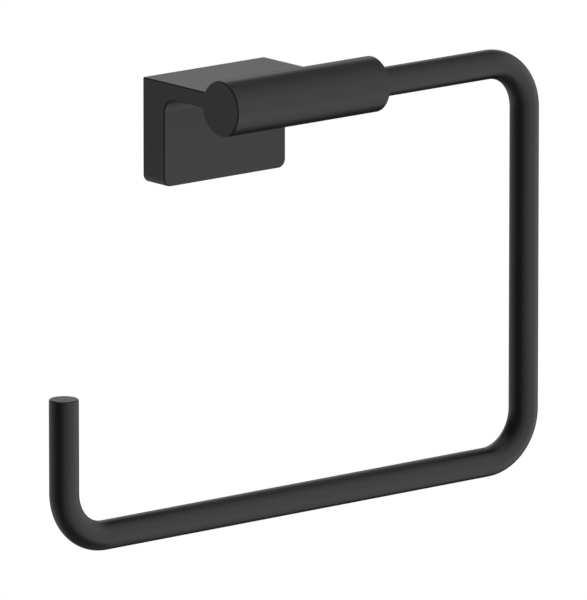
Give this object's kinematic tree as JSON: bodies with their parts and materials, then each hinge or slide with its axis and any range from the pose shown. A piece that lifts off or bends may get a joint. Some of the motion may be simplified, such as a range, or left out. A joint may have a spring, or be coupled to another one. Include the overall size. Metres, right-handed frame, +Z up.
{
  "type": "towel ring",
  "caption": "Wall-mounted towel ring: a cast bracket with a horizontal round barrel holds an open rectangular ring of bent round bar.",
  "frame": {"origin": "centre of the flange's back face, on the wall plane", "axes": "+X to the right along the wall, +Y into the wall, +Z up"},
  "size_m": [0.2524, 0.0699, 0.1829],
  "materials": {
    "bracket_coating": "satin",
    "bar_coating": "satin",
    "plate_steel": "brushed",
    "screw_steel": "satin"
  },
  "bodies": {
    "root": {"bracket_body": "bracket_coating", "ring_bar": "bar_coating", "wall_plate": "plate_steel", "plate_lock_screw": "screw_steel", "ring_lock_screw": "screw_steel"}
  },
  "joints": []
}
